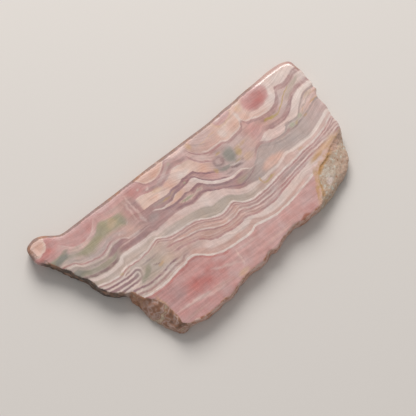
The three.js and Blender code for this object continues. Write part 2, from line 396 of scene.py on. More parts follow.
# bands from the bottom up: each covers all above its foot, or up to its top where it has one; tones are
# given with their places along it, fade is the length of its ends and soft the width of its border
bands = [
    {"foot": "roseTop",
     "tones": [(-27, "greige"), (-17, "greige"), (-11, "salmon"), (8, "salmon"), (26, "blush")]},
    {"foot": "paleFoot", "top": "paleTop", "from": -8, "fade": 5, "soft": 0.7,
     "tones": [(-8, "blush"), (0, "cream"), (26, "cream")]},
    {"foot": "paleTop", "from": -13, "fade": 3,
     "tones": [(-12, "salmon"), (6, "salmon"), (16, "lilac"), (24, "lilac")]},
    {"foot": "midThread", "from": -13, "fade": 3,
     "tones": [(-12, "salmon"), (4, "salmon"), (14, "lilac"), (26, "lilac"), (36, "blush")]},
    {"foot": "greigeFoot",
     "tones": [(-34, "greyBeige"), (-28, "greige"), (-10, "greige"), (0, "greyBeige"), (7, "greyBeige"),
               (12, "greige"), (17, "salmon"), (26, "blush"), (38, "blush")]},
    {"foot": "creamFoot", "soft": 0.5,
     "tones": [(-34, "cream"), (-24, "white"), (-16, "cream"), (-8, "blush"), (1, "cream"), (7, "blush"),
               (12, "cream"), (30, "white")]},
    {"foot": "creamTop", "soft": 0.5,
     "tones": [(-34, "greyBeige"), (-26, "greyBeige"), (-22, "mauve"), (-14, "mauve"), (-10, "mauve"),
               (-4, "mauve"), (11, "mauve"), (14, "mauveGrey"), (18, "greyPink"), (32, "greyPink"),
               (40, "lilac")]},
    {"foot": "brownThread", "from": -5, "fade": 3,
     "tones": [(-4, "mauve"), (11, "mauve"), (15.5, "greyPink"), (26, "greige"), (32, "greige"),
               (38, "blush")]},
    {"foot": "lensFoot", "top": "lensTop", "from": -11, "to": 16, "fade": 1.5,
     "tones": [(-9, "cream"), (-6, "peach"), (-3, "peach"), (-1, "blush"), (3, "cream"), (15, "blush")]},
    {"foot": "lensTop", "from": -12, "to": 23, "fade": 2,
     "tones": [(-10, "mauve"), (0, "mauve"), (4, "mauveRose"), (7, "rosePale"), (10, "lilac"),
               (14, "lilac"), (22, "salmon")]},
    {"foot": "bluntFoot", "top": "bluntTop", "from": -13, "to": 8, "fade": 1.2,
     "tones": [(-12, "creamPeach"), (-7, "creamPeach"), (-4, "peach"), (0, "cream"), (3, "creamPeach"),
               (6, "peach"), (8, "salmon")]},
    {"foot": "bluntTop", "from": -14, "to": 9, "fade": 3,
     "tones": [(-14, "rose"), (-8, "rose"), (-3, "lilac"), (1, "rosePale"), (8, "blush")]},
    {"foot": "rightFoot", "top": "rightTop", "from": 22, "fade": 2,
     "tones": [(22, "cream"), (27, "blush"), (38, "white")]},
    {"foot": "rightTop", "from": 21, "fade": 3,
     "tones": [(22, "rosePale"), (27, "salmon"), (31, "lilac"), (40, "cream")]},
    {"foot": "hookThread", "to": -15, "fade": 4,
     "tones": [(-36, "greige"), (-26, "lilac"), (-17, "salmon")]},
    {"foot": "oliveFoot", "top": "oliveTop", "to": -18, "fade": 3, "soft": 2,
     "tones": [(-34, "oliveGrey"), (-30, "olive"), (-20, "olive")]},
    {"foot": "oliveTop", "to": -14, "fade": 4, "soft": 0.9,
     "tones": [(-36, "rosePale"), (-30, "blush"), (-24, "rosePale"), (-16, "salmon")]},
    {"foot": "pinkThread", "to": -14, "fade": 6, "soft": 0.9,
     "tones": [(-38, "rosePale"), (-33, "rosePale"), (-27, "rose"), (-22, "rosePale")]},
    {"foot": "lobeFoot", "from": 5, "fade": 1,
     "tones": [(6, "salmon"), (11, "salmon"), (17, "creamPeach"), (25, "peach"), (31, "cream"),
               (38, "cream")]},
    {"foot": "peachLens", "from": -10.2, "to": -1.4, "fade": 0.4, "tones": [(-9, "peach"), (-2, "peach")]},
]

# threads lie along a course: the course, how far above it, width, tone, from, to and strength
threads = [
    ("roseTop", -0.65, 0.6, "roseDeep", -27, -2, 0.7), ("roseTop", 2.4, 0.45, "mauveDark", -28, -14, 1),
    ("roseTop", 1.75, 0.4, "cream", -28, -13, 0.8), ("roseTop", 1.1, 0.5, "mauve", -28, -11, 0.9),
    ("roseTop", 3, 0.3, "blush", -28, -17, 0.6), ("roseTop", 0.55, 0.3, "blush", -28, -11, 0.6),
    ("roseTop", 0, 0.55, "white", None, 27, 1), ("paleFoot", -0.5, 0.4, "salmon", -6, 24, 0.6),
    ("paleTop", 0, 0.55, "mauveRose", -13, 27, 1), ("paleTop", 0.75, 0.3, "mauveRose", -11, 27, 0.5),
    ("paleTop", 1.15, 0.3, "blush", -6, 27, 0.6), ("midThread", -0.42, 0.4, "mauveRose", -14, None, 1),
    ("midThread", 0, 0.38, "cream", -12, None, 0.9), ("midThread", 0.5, 0.3, "mauve", 6, None, 0.7),
    ("midThread", 0.9, 0.25, "cream", -14, None, 0.5), ("midThread", -0.95, 0.3, "blush", 5, None, 0.7),
    ("midThread", 1.3, 0.3, "mauve", 7, None, 0.7), ("midThread", 1.75, 0.3, "cream", 8, None, 0.6),
    ("paleTop", 1.55, 0.3, "mauve", 4, 28, 0.6), ("greigeFoot", -1.15, 0.4, "mauve", -16, None, 0.75),
    ("greigeFoot", -0.8, 0.25, "blush", -16, None, 0.6),
    ("greigeFoot", -0.45, 0.45, "mauveRose", None, None, 0.9),
    ("greigeFoot", -1.05, 0.35, "cream", None, -25, 0.9),
    ("greigeFoot", -1.55, 0.4, "mauveDark", None, -25.5, 0.8),
    ("greigeFoot", 0, 0.5, "white", None, None, 0.9), ("creamTop", 0.6, 0.8, "plum", None, -25.5, 0.9),
    ("creamTop", 1.8, 1.1, "oliveGrey", None, -25, 0.6),
    ("creamTop", 0.9, 0.8, "mauveDark", -24, -16, 0.45), ("creamTop", 1.7, 0.3, "blush", -23, -14, 0.6),
    ("brownThread", -0.2, 0.5, "mauveDark", -6, 16, 1), ("brownThread", 0, 0.6, "mauveGrey", 12, None, 1),
    ("brownThread", 0.9, 0.8, "mauve", 18, 30, 0.8), ("lensFoot", -0.4, 0.5, "mauveDark", -9, 13, 1),
    ("lensFoot", -1.3, 0.4, "mauveRose", 2.5, 13, 0.8), ("lensTop", 0.35, 0.4, "mauveDark", -7, 9, 1),
    ("lensTop", 1, 0.4, "salmon", 2, 8, 0.6), ("lensTop", 0, 0.3, "cream", -11, -4, 0.8),
    ("lensTop", -0.15, 0.4, "white", 1, 15, 0.8), ("bluntFoot", -0.45, 0.5, "mauveDark", -5, 9, 1),
    ("bluntFoot", -0.9, 0.35, "ochre", -9, -4, 0.5), ("bluntTop", 0.8, 0.9, "mauve", -10, 5, 0.9),
    ("hookThread", -0.8, 0.6, "mauveGrey", None, -24, 0.8),
    ("hookThread", 0, 0.5, "cream", None, -17, 0.75), ("hookThread", 0.7, 0.35, "mauveRose", None, -22, 1),
    ("hookThread", 1.6, 0.7, "greyPink", None, -20, 0.9), ("pinkThread", 0.1, 0.5, "rose", -35, -19, 1),
    ("pinkThread", -0.5, 0.4, "blush", -35, -25, 0.4), ("rightFoot", -0.4, 0.5, "mauveGrey", 22, None, 1),
    ("rightTop", 0.9, 1.2, "mauve", 24, None, 0.9), ("rightTop", 0.35, 0.3, "mauveDark", 25, 36, 0.6),
    ("rightFoot", -1.6, 0.3, "ochre", 35, None, 0.5), ("lobeFoot", -0.45, 0.55, "mauveRose", 4.7, 14, 1),
    ("lobeFoot", -0.5, 0.7, "mauve", 14, None, 0.9), ("lobeFoot", -1.2, 0.6, "mauve", 25, None, 0.8),
    ("lobeFoot", 0.25, 0.4, "cream", 8, None, 0.9), ("fallingSeam", 0, 0.6, "mauveRose", 4, 8.6, 1),
    ("goldSeam", 0, 0.4, "gold", 29.5, 36.3, 0.8), ("peachLens", 0.1, 0.5, "creamPeach", -10.2, -1.4, 1),
    ("peachLens", -0.5, 0.6, "mauveRose", -11, -1, 0.9),
]

# a nest of hairpin folds at the left edge: how far each thread lies from the axis, its width and tone
hairpins = [(0, 0.75, "mauveDark"), (0.7, 0.4, "cream"), (1.2, 0.45, "mauveDark"), (1.75, 0.4, "cream")]
hairpinTip = -24.3
hairpinEnd = -22
hairpinStrength = 0.9

# spots are ellipses: middle, half width and half height, turn in degrees, tone, strength, softness
spots = [
    # rose zone
    ((-12, -13.4), (6, 2.8), -8, "roseDeep", 0.75, 1), ((-12, -13.6), (3, 1.3), -8, "brick", 0.4, 1),
    ((-15.5, -16.6), (3.6, 0.4), -4, "blush", 0.6, 0.9),
    ((-5.5, -14), (3.4, 0.35), -22, "blush", 0.6, 0.9), ((-20.5, -12), (3.2, 2.5), 0, "mauveRose", 0.8, 1),
    ((-3, -17.9), (1.6, 0.8), 0, "apricot", 0.6, 0.9),
    ((-17.5, -14.9), (3.8, 0.6), -3, "roseDeep", 0.45, 0.9),
    ((-17.8, -16.3), (4.4, 0.33), -3, "blush", 0.7, 0.9),
    ((-12.5, -17.4), (3.8, 0.35), -7, "blush", 0.55, 0.9), ((-18, -18.9), (3, 0.4), 0, "salmon", 0.5, 0.9),
    ((-8.5, -17.2), (3, 0.4), -8, "salmon", 0.5, 0.9),
    ((-6.8, -12.1), (2.6, 0.7), -18, "roseDeep", 0.45, 0.9),
    ((-1.3, -14.4), (0.2, 2.4), -8, "creamPeach", 0.55, 0.9),
    ((2.5, -12.6), (3.2, 0.35), -3, "blush", 0.5, 0.9), ((-14, -10), (5, 0.7), 2, "rosePale", 0.5, 1),
    ((-3.4, -16.6), (4, 0.35), 4, "rosePale", 0.6, 0.9), ((8.6, -14.2), (4, 0.5), 4, "rosePale", 0.6, 0.9),
    ((10, -15.6), (5, 0.35), 6, "salmon", 0.6, 0.9), ((22, -12), (3.4, 2), 10, "rosePale", 0.5, 1),
    ((20.3, -15), (1.6, 0.9), 0, "roseDeep", 0.35, 0.9), ((-23.5, -13), (0.6, 3.2), 8, "ochre", 0.6, 0.9),
    ((-23.6, -17.6), (0.5, 2), 0, "peach", 0.5, 1),
    # grey cloud left of the olive field
    ((-33.2, 12), (2, 0.8), 8, "greyBeige", 0.6, 1),
    # greenish patch left of the folds
    ((-20.3, -3.2), (4, 2.2), 8, "greyBeige", 0.8, 0.9),
    ((-21.6, -3.3), (1.7, 0.6), 38, "oliveGrey", 0.85, 0.9),
    ((-23.3, -4.4), (1.1, 0.6), 30, "oliveGrey", 0.7, 0.9),
    ((-16, -3.6), (1.9, 1.2), 0, "apricot", 0.4, 1), ((-18, -3.9), (0.9, 0.5), 20, "ochre", 0.5, 0.9),
    ((-18.8, -3.1), (0.8, 0.17), -25, "plum", 0.8, 0.6),
    ((-19.6, -1), (2.4, 0.25), 2, "mauveGrey", 0.8, 0.6), ((-27.2, 0.15), (0.7, 0.3), 0, "gold", 0.6, 0.9),
    # left end above the cream band
    ((-36.7, 12.1), (2.1, 0.85), 20, "slate", 0.95, 0.8),
    ((-35, 13.2), (1, 0.5), 10, "oliveGrey", 0.6, 0.9), ((-35.2, 6.5), (1.7, 0.8), -25, "slate", 0.9, 0.8),
    ((-33.8, 5.4), (1.5, 0.6), -30, "oliveGrey", 0.7, 0.9),
    ((-24.4, 6.3), (2.9, 0.7), 16, "mauveDark", 0.75, 0.7),
    ((-21.4, 12), (1.3, 1), 30, "apricot", 0.35, 1), ((-18.7, 11.1), (0.9, 1.2), 0, "oliveGrey", 0.8, 0.9),
    ((-18.1, 9.9), (0.5, 0.18), 40, "white", 0.6, 0.9), ((-22, 8.5), (2.2, 0.6), 0, "lilac", 0.7, 0.9),
    ((-21.5, 8.5), (0.5, 0.25), 30, "cream", 0.6, 0.9), ((-31, 15.2), (3.6, 1), -8, "rose", 0.3, 1),
    ((-29.5, 13.9), (3, 0.4), 6, "roseDeep", 0.2, 1),
    # the tip
    ((-37.5, 16.5), (3.8, 1.9), 38, "rose", 0.9, 0.7),
    ((-39.4, 15.6), (2.4, 0.9), 12, "roseDeep", 0.9, 0.7),
    ((-37, 18.2), (1, 1.6), -20, "roseDeep", 0.6, 0.9),
    ((-39, 13.6), (1.8, 0.3), 0, "mauveRose", 0.6, 0.8),
    ((-40.5, 19.3), (3.35, 3.4), 0, "creamPeach", 1, 0.06), ((-40.7, 19.5), (3, 3), 0, "peach", 0.9, 0.25),
    # curtain of upright streaks
    ((-15.6, 10.6), (2.3, 4.4), 0, "mauve", 0.55, 1), ((-13.8, 11.5), (0.7, 3.6), 3, "mauve", 0.65, 1),
    ((-14.6, 11.5), (0.28, 4), 4, "blush", 0.65, 1), ((-15.2, 10.8), (0.22, 4), 2, "mauveRose", 0.6, 1),
    ((-15.8, 11.8), (0.25, 3.4), 2, "blush", 0.5, 0.8),
    ((-16.4, 12.5), (0.2, 3), 2, "mauveRose", 0.5, 0.8), ((-14.4, 8), (0.4, 1.2), 12, "lilac", 0.8, 0.8),
    ((-12, 6.8), (1.4, 1), 0, "mauveGrey", 0.5, 1), ((-18.5, 6.1), (2, 0.25), 4, "lilac", 0.8, 0.7),
    # blunt band and the lens below it
    ((-7.3, 12.2), (1.4, 0.6), -12, "apricot", 0.6, 0.9),
    ((-4.6, 11.8), (1.6, 0.5), 10, "peach", 0.7, 0.9), ((-8.5, 10.9), (2.2, 0.3), -8, "peach", 0.6, 0.9),
    ((0.4, 11.5), (1.6, 0.5), 0, "white", 0.6, 0.9), ((1, 13.3), (2, 0.6), 0, "creamPeach", 0.7, 0.9),
    ((-8.5, 9.2), (2, 0.5), -4, "mauveGrey", 0.6, 0.9), ((-6.9, 8.8), (0.7, 0.35), 10, "ochre", 0.6, 0.9),
    ((-3.8, 7.9), (1.6, 0.5), 10, "apricot", 0.4, 0.8), ((-5.9, 8.1), (0.9, 0.22), 25, "plum", 0.7, 0.8),
    ((-1.2, 6.5), (0.8, 0.4), 0, "salmon", 0.7, 0.9), ((-3.2, 9.2), (1.2, 0.35), 6, "mauveDark", 0.7, 0.8),
    ((-0.4, 9.5), (0.35, 0.2), 0, "leafGreen", 0.6, 0.9),
    ((-2.2, 5.6), (2.5, 0.6), -6, "creamPeach", 0.8, 0.4),
    ((1.2, 5.8), (1.4, 0.45), 5, "creamPeach", 0.6, 0.5), ((-2.4, 5.65), (1.9, 0.35), -7, "olive", 1, 0.6),
    ((1.2, 5.8), (1.1, 0.25), 5, "greyBeige", 0.8, 0.6),
    # pink ground above the blunt band
    ((-12.5, 15.6), (2.4, 0.9), -20, "roseDeep", 0.5, 1),
    ((-11.2, 15.2), (0.45, 0.3), 20, "blush", 0.8, 0.9), ((-9, 14.1), (0.45, 0.35), 0, "blush", 0.8, 0.9),
    ((-4.8, 13.5), (2.2, 0.35), 10, "lilac", 0.6, 0.9), ((-2.6, 14.9), (1.6, 0.4), 25, "lilac", 0.7, 0.9),
    ((-0.6, 15.8), (0.6, 0.35), 30, "leafGreen", 0.4, 1), ((2.5, 16.8), (2.4, 0.5), 0, "blush", 0.7, 0.9),
    ((2.5, 17.4), (2.8, 0.18), 1, "creamPeach", 0.8, 0.6),
    ((7.3, 11.9), (1.3, 0.5), -38, "blush", 0.8, 0.8), ((10, 11.6), (1.8, 0.2), -2, "mauveRose", 0.7, 0.7),
    # slate patch with its curl and rusty fringe
    ((15.4, 7.7), (0.8, 1.1), 0, "gold", 0.7, 0.9), ((16.8, 9.1), (1.7, 0.5), 8, "ochre", 0.5, 1),
    ((14.1, 6), (1, 0.4), 0, "gold", 0.5, 1), ((11, 10.5), (0.9, 0.3), 0, "gold", 0.6, 0.9),
    ((9.2, 7.2), (1.5, 1.3), 0, "mauveGrey", 0.7, 0.9), ((9.9, 8.6), (1.6, 1.3), 0, "plum", 0.75, 0.7),
    ((9.8, 8.7), (1, 0.8), 0, "lilac", 0.85, 0.7), ((10.4, 8.5), (0.35, 0.45), 0, "plum", 0.6, 0.9),
    ((13.1, 8.4), (1.6, 2.1), -8, "slate", 0.9, 0.9), ((10.3, 6.3), (1.8, 0.5), -8, "slate", 0.7, 0.9),
    ((7.7, 6.9), (0.45, 0.6), 0, "ochre", 0.7, 0.9), ((16.5, 9.2), (0.3, 0.15), -40, "white", 0.7, 0.9),
    ((15.1, 5.5), (0.4, 0.3), 0, "plum", 0.5, 1), ((16.6, 5.3), (1.4, 0.9), 0, "apricot", 0.5, 1),
    ((12.7, 5.1), (1.6, 0.3), -14, "plum", 0.9, 0.6), ((12.8, 5.65), (1.4, 0.17), -14, "white", 0.7, 0.6),
    ((10.3, 4.5), (1.2, 0.3), -4, "plum", 0.5, 0.9), ((22, 9.4), (1.8, 1), 20, "rose", 0.6, 1),
    ((19.5, 10.8), (1.6, 0.8), 0, "mauveRose", 0.5, 1),
    # grey band at the right and the streaks by it
    ((20.8, 0.45), (3.3, 1.2), 6, "peach", 0.95, 0.9), ((15.4, -1.9), (0.24, 0.9), 8, "ochre", 0.8, 0.8),
    ((17.1, -2.65), (2, 0.27), 4, "gold", 0.85, 0.8), ((28.3, -1.3), (0.8, 0.25), 5, "ochre", 0.5, 0.9),
    ((11.5, 1.3), (1.5, 0.7), 0, "olive", 0.45, 1), ((23.5, -4.2), (4.5, 0.3), 9, "mauveGrey", 0.6, 0.8),
    # iron stain above the host rock, with a lens of pink in it
    ((34, -4.75), (5.6, 1.15), 11, "apricot", 0.75, 0.8),
    ((30.2, -5.6), (1.8, 0.6), 12, "amber", 0.6, 0.9), ((32, -6), (2.2, 0.5), 9, "blush", 0.9, 0.7),
    ((35.5, -4.6), (1.8, 0.4), 14, "ochre", 0.7, 0.9), ((26.6, -9.8), (0.5, 2.4), -22, "amber", 0.8, 0.9),
    ((24.3, -13.8), (0.55, 2.4), -28, "amber", 0.7, 0.9),
    # crystals above the grey band
    ((30.8, 5), (0.75, 0.5), 15, "leafGreen", 0.7, 0.7),
    ((33.8, 5.8), (0.8, 0.45), 30, "leafGreen", 0.6, 0.8), ((32.2, 5), (0.6, 0.35), 20, "gold", 0.7, 0.8),
    ((35.1, 5.3), (0.7, 0.3), 20, "ochre", 0.5, 0.9), ((30.3, 6), (1.5, 0.2), -2, "plum", 0.5, 0.8),
    ((31.5, 4.35), (2.2, 0.18), 10, "plum", 0.5, 0.8), ((39.6, 7.3), (1.6, 0.2), 8, "ochre", 0.7, 0.8),
    ((38, 8.7), (1.8, 0.5), 25, "cream", 0.7, 0.8), ((37.2, 7.9), (2.2, 0.2), 22, "mauveGrey", 0.7, 0.8),
    ((27.8, 9.9), (1.9, 0.42), -6, "gold", 1, 0.6), ((38.4, 14.3), (2, 0.6), 22, "oliveGrey", 0.5, 1),
    ((37.5, 15.1), (2.6, 0.5), 14, "mauve", 0.6, 0.9), ((36, 12.8), (2.6, 0.7), 30, "greyBeige", 0.6, 1),
    ((39.2, 9.4), (1.6, 0.4), 20, "sand", 0.5, 1),
    # lobes along the straight edge
    ((9.6, 16.6), (4.4, 1.3), 4, "lilac", 0.6, 0.7), ((6, 16.5), (0.7, 1.1), 0, "apricot", 0.8, 0.9),
    ((11.2, 15.5), (2.6, 0.16), 4, "apricot", 0.7, 0.8), ((17.4, 17.9), (3.1, 2), 4, "apricot", 0.8, 0.2),
    ((17.4, 18), (2.8, 1.7), 4, "rosePale", 1, 0.3), ((17.4, 17), (2, 0.18), 2, "roseDeep", 0.4, 0.9),
    ((16.4, 17.8), (1, 0.25), 4, "white", 0.6, 0.9), ((15.2, 14.1), (1, 1.2), 0, "white", 0.6, 0.9),
    ((18.2, 14.2), (1.5, 1.1), 30, "peach", 0.9, 0.9), ((21, 15.3), (0.45, 1.5), 0, "white", 0.7, 0.8),
    ((22.6, 17.4), (0.9, 1.3), 0, "apricot", 0.8, 0.8), ((22.6, 18.3), (0.8, 0.25), 4, "cream", 0.7, 0.8),
    ((27.8, 16.6), (5.3, 4), 2, "cream", 0.5, 0.4), ((27.7, 17), (4.1, 2.9), 4, "rose", 0.95, 0.35),
    ((27.6, 16.2), (3.2, 2), 4, "roseDeep", 0.9, 0.8), ((27.2, 15.7), (1.6, 0.8), 4, "brick", 0.9, 0.9),
    # the second white spot: the lobe's own whitish top by the corner, whitened further as a painted
    # highlight
    ((31.9, 15.6), (0.4, 1.8), -12, "white", 0.7, 0.9), ((36.5, 17.8), (2.6, 0.8), 4, "white", 0.7, 0.9),
    # rusty stain by the lower edge
    ((17.9, -16.4), (1.9, 0.75), 6, "rust", 0.9, 0.6),
]
spotStraying = 0.35                # mm, how far the spots' borders stray
spotStrayingSize = 1.7


# lays the spots over each other, in order, and keeps their colour and cover on the mesh's points
def stainSliceMesh(mesh):
    points = pointsOf(mesh)
    x = points[:, 0] + spotStraying * roughness(points, spotStrayingSize, 21)
    y = points[:, 1] + spotStraying * roughness(points, spotStrayingSize, 22)
    laid = np.zeros((len(points), 4))
    for middle, half, turn, tone, strength, soft in spots:
        angle = math.radians(turn)
        px = x - middle[0]
        py = y - middle[1]
        along = (px * math.cos(angle) + py * math.sin(angle)) / half[0]
        across = (py * math.cos(angle) - px * math.sin(angle)) / half[1]
        cover = smoothStep(1 + soft / 2, 1 - soft / 2, np.hypot(along, across)) * strength
        laid += cover[:, None] * (np.array(linear(tones[tone])) - laid)
    attribute = mesh.attributes.new("patches", "FLOAT_COLOR", "POINT")
    attribute.data.foreach_set("color", laid.astype(np.float32).ravel())
    print("slice mesh stained with", len(spots), "patches")


stainSliceMesh(sliceMesh)


face = {
    "span": (-43.0, 43.0),         # mm, the courses' reach from left to right
    "rise": (-23.0, 23.0),         # mm, and from bottom to top
    "straying": [(6.0, 0.25), (1.6, 0.13), (0.5, 0.09)],    # mm, wave size and how far the layers stray
    "strayingGain": 2.5,           # noise seldom goes further than 0.4 from its middle
    "bandEdge": 0.2,               # mm, width of the blend where a band begins
    "threadSides": (0.75, 0.3),    # of its width, where a thread has faded out and where it is full
    "threadEnd": 2,                # mm, length of the fade at its ends
    "fadeSize": 1.6,               # mm, patches where a thread fades
    "fadeSpan": (0.3, 0.55),       # noise levels where it is faintest and where it is full
    "faintest": 0.55,
    "polish": 0.18,                # roughness of the polished face
    "ior": 1.6,                    # carbonates run from about 1.6 to 1.8
}
cloudSpan = (0.3, 0.7)             # most of a noise texture lies between these levels


# what the painting of the face builds on: the tree, the place on the face, and the roughness so far
def startFace(tree):
    inMm = addNode(tree, "VectorMath", {0: addNode(tree, "TexCoord").outputs["Object"], 3: 1 / mm},
                   operation="SCALE")
    strayed = inMm
    for size, reach in face["straying"]:
        cloud = addNode(tree, "TexNoise", {"Vector": inMm, "Scale": 1 / size, "Detail": 1.0})
        middle = addNode(tree, "VectorMath", {0: cloud.outputs["Color"], 1: (0.5, 0.5, 0.5)},
                         operation="SUBTRACT")
        shift = addNode(tree, "VectorMath", {0: middle, 3: reach * face["strayingGain"]}, operation="SCALE")
        strayed = addNode(tree, "VectorMath", {0: strayed, 1: shift}, operation="ADD")
    parts = addNode(tree, "SeparateXYZ", {0: strayed}).outputs
    blotch = addNode(tree, "TexNoise", {"Vector": inMm, "Scale": 1 / face["fadeSize"]})
    faint, full = face["fadeSpan"]
    fading = addNode(tree, "MapRange", {0: blotch, 1: faint, 2: full, 3: face["faintest"]},
                     interpolation_type="SMOOTHSTEP", clamp=False)
    low, high = face["span"]
    across = addNode(tree, "MapRange", {0: parts[0], 1: low, 2: high}, clamp=False)
    return {"tree": tree, "mm": inMm, "strayed": strayed, "x": parts[0], "y": parts[1],
            "across": across, "fading": fading, "over": {}, "rough": face["polish"]}


# how far the place is above a course, in mm
def heightOver(canvas, name):
    if name not in canvas["over"]:
        tree = canvas["tree"]
        low, high = face["span"]
        bottom, top = face["rise"]
        curve = addNode(tree, "FloatCurve", {"Value": canvas["across"]})
        spread = [((px - low) / (high - low), (py - bottom) / (top - bottom)) for px, py in courses[name]]
        path = curve.mapping.curves[0].points
        path[0].location = spread[0]
        path[1].location = spread[-1]
        for place in spread[1:-1]:
            path.new(*place)
        for point in path:
            point.handle_type = "AUTO_CLAMPED"
        curve.mapping.extend = "HORIZONTAL"
        curve.mapping.update()
        course = addNode(tree, "Math", {0: curve, 1: top - bottom, 2: bottom}, operation="MULTIPLY_ADD")
        canvas["over"][name] = addNode(tree, "Math", {0: canvas["y"], 1: course}, operation="SUBTRACT")
    return canvas["over"][name]


# several masks multiplied together; each is a value and the two values where it is 0 and 1
def maskOf(canvas, *ramps):
    tree = canvas["tree"]
    product = None
    for value, zero, one in ramps:
        # no clamp: Blender adds it as a step that runs late, and with so many the shader's stack runs out
        ramp = addNode(tree, "MapRange", {0: value, 1: zero, 2: one}, interpolation_type="SMOOTHSTEP",
                       clamp=False)
        if product is None:
            product = ramp
        else:
            product = addNode(tree, "Math", {0: product, 1: ramp}, operation="MULTIPLY")
    return product


# ramps that keep a layer between two places along the face
def windowOf(canvas, start, end, fade):
    ramps = []
    if start is not None:
        ramps.append((canvas["x"], start - fade / 2, start + fade / 2))
    if end is not None:
        ramps.append((canvas["x"], end + fade / 2, end - fade / 2))
    return ramps


# lays a colour over what is painted so far
def lay(canvas, mask, colour, strength=1.0):
    tree = canvas["tree"]
    if strength < 1:
        mask = addNode(tree, "Math", {0: mask, 1: strength}, operation="MULTIPLY")
    canvas["colour"] = addNode(tree, "Mix", {0: mask, 6: canvas["colour"], 7: colour},
                               data_type="RGBA").outputs[2]


# puts tones at their places on a colour ramp
def setTones(ramp, stops):
    elements = ramp.color_ramp.elements
    while len(elements) < len(stops):
        elements.new(0.5)
    for element, (place, tone) in zip(elements, stops):
        element.position = place
        element.color = linear(tones[tone])
    return ramp


# a colour that changes along the layer
def tonesAlong(canvas, stops):
    low, high = face["span"]
    ramp = addNode(canvas["tree"], "ValToRGB", {0: canvas["across"]})
    return setTones(ramp, [((px - low) / (high - low), tone) for px, tone in stops])


# a colour that changes at random from place to place
def cloudyTones(canvas, size, stops, detail=4.0):
    tree = canvas["tree"]
    cloud = addNode(tree, "TexNoise", {"Vector": canvas["mm"], "Scale": 1 / size, "Detail": detail,
                                       "Roughness": 0.65})
    return setTones(addNode(tree, "ValToRGB", {0: cloud}), stops)


def paintBands(canvas):
    for band in bands:
        soft = band.get("soft", face["bandEdge"])
        ramps = [(heightOver(canvas, band["foot"]), -soft / 2, soft / 2)]
        if "top" in band:
            ramps.append((heightOver(canvas, band["top"]), soft / 2, -soft / 2))
        ramps += windowOf(canvas, band.get("from"), band.get("to"), band.get("fade", 1))
        lay(canvas, maskOf(canvas, *ramps), tonesAlong(canvas, band["tones"]))


# the mask of a thread of the given width, where a height reaches its own
def threadMask(canvas, height, rise, width, window):
    tree = canvas["tree"]
    over = addNode(tree, "Math", {0: height, 1: rise}, operation="SUBTRACT")
    away = addNode(tree, "Math", {0: over}, operation="ABSOLUTE")
    faded, full = face["threadSides"]
    return maskOf(canvas, (away, width * faded, width * full), *window)


def paintThreads(canvas):
    tree = canvas["tree"]
    for course, rise, width, tone, start, end, strength in threads:
        window = windowOf(canvas, start, end, face["threadEnd"])
        mask = threadMask(canvas, heightOver(canvas, course), rise, width, window)
        mask = addNode(tree, "Math", {0: mask, 1: canvas["fading"]}, operation="MULTIPLY")
        lay(canvas, mask, linear(tones[tone]), strength)

    # the hairpins run along their axis and turn round its tip
    beyond = addNode(tree, "Math", {0: canvas["x"], 1: hairpinTip}, operation="SUBTRACT")
    past = addNode(tree, "Math", {0: beyond, 1: 0}, operation="MAXIMUM")
    corner = addNode(tree, "CombineXYZ", {0: past, 1: heightOver(canvas, "hairpinAxis")})
    fromAxis = addNode(tree, "VectorMath", {0: corner}, operation="LENGTH").outputs["Value"]
    for reach, width, tone in hairpins:
        mask = threadMask(canvas, fromAxis, reach, width, windowOf(canvas, None, hairpinEnd, 1))
        lay(canvas, mask, linear(tones[tone]), hairpinStrength)


# the spots lie over the bands
def paintPatches(canvas):
    tree = canvas["tree"]
    patches = addNode(tree, "Attribute", attribute_name="patches").outputs
    bare = addNode(tree, "Math", {0: 1, 1: patches["Alpha"]}, operation="SUBTRACT")
    under = addNode(tree, "VectorMath", {0: canvas["colour"], 3: bare}, operation="SCALE")
    canvas["colour"] = addNode(tree, "VectorMath", {0: under, 1: patches["Color"]}, operation="ADD")


texture = {
    # each veil of light and dark: its stretch along and across the layers, its size in mm, its strength
    "veils": [(7.0, 0.35, 1.0, 0.11), (9.0, 1.0, 1.3, 0.05), (0.35, 2.6, 0.9, 0.04), (1.6, 1.2, 1.6, 0.06),
              (0.5, 0.5, 0.5, 0.05)],
    "depthStretch": 0.3,           # of every veil, down through the slice
    "hueSize": 3.0,                # mm, patches of purer and paler colour
    "hueReach": 0.14,
    "gritSize": 0.35,              # mm, coarser than on the real stone, so that it shows
    "gritDepth": 0.12,             # mm
    "polishRelief": 0.02,          # how much of the grit is left on the polish
    "matt": 0.6,                   # roughness where all of it is
}


# the face's own texture: laminae along the layers, fibres across them, and cloudiness
def paintTexture(canvas):
    tree = canvas["tree"]
    parts = addNode(tree, "SeparateXYZ", {0: canvas["mm"]}).outputs
    inRose = maskOf(canvas, (heightOver(canvas, "roseTop"), 0.2, -0.2))
    flow = addNode(tree, "Mix", {0: inRose, 2: heightOver(canvas, "creamFoot"), 3: canvas["y"]})
    low, high = cloudSpan
    value = None
    for along, across, size, reach in texture["veils"]:
        spread = addNode(tree, "CombineXYZ", {0: parts[0], 1: flow, 2: parts[2]})
        stretch = (1 / along, 1 / across, texture["depthStretch"])
        scaled = addNode(tree, "VectorMath", {0: spread, 1: stretch}, operation="MULTIPLY")
        cloud = addNode(tree, "TexNoise", {"Vector": scaled, "Scale": 1 / size, "Detail": 2.0})
        level = addNode(tree, "MapRange", {0: cloud, 1: low, 2: high, 3: 1 - reach, 4: 1 + reach},
                        clamp=False)
        if value is None:
            value = level
        else:
            value = addNode(tree, "Math", {0: value, 1: level}, operation="MULTIPLY")
    cloud = addNode(tree, "TexNoise", {"Vector": canvas["mm"], "Scale": 1 / texture["hueSize"]})
    reach = texture["hueReach"]
    saturation = addNode(tree, "MapRange", {0: cloud, 1: low, 2: high, 3: 1 - reach, 4: 1 + reach})
    canvas["colour"] = addNode(tree, "HueSaturation", {"Saturation": saturation, "Value": value,
                                                       "Color": canvas["colour"]})


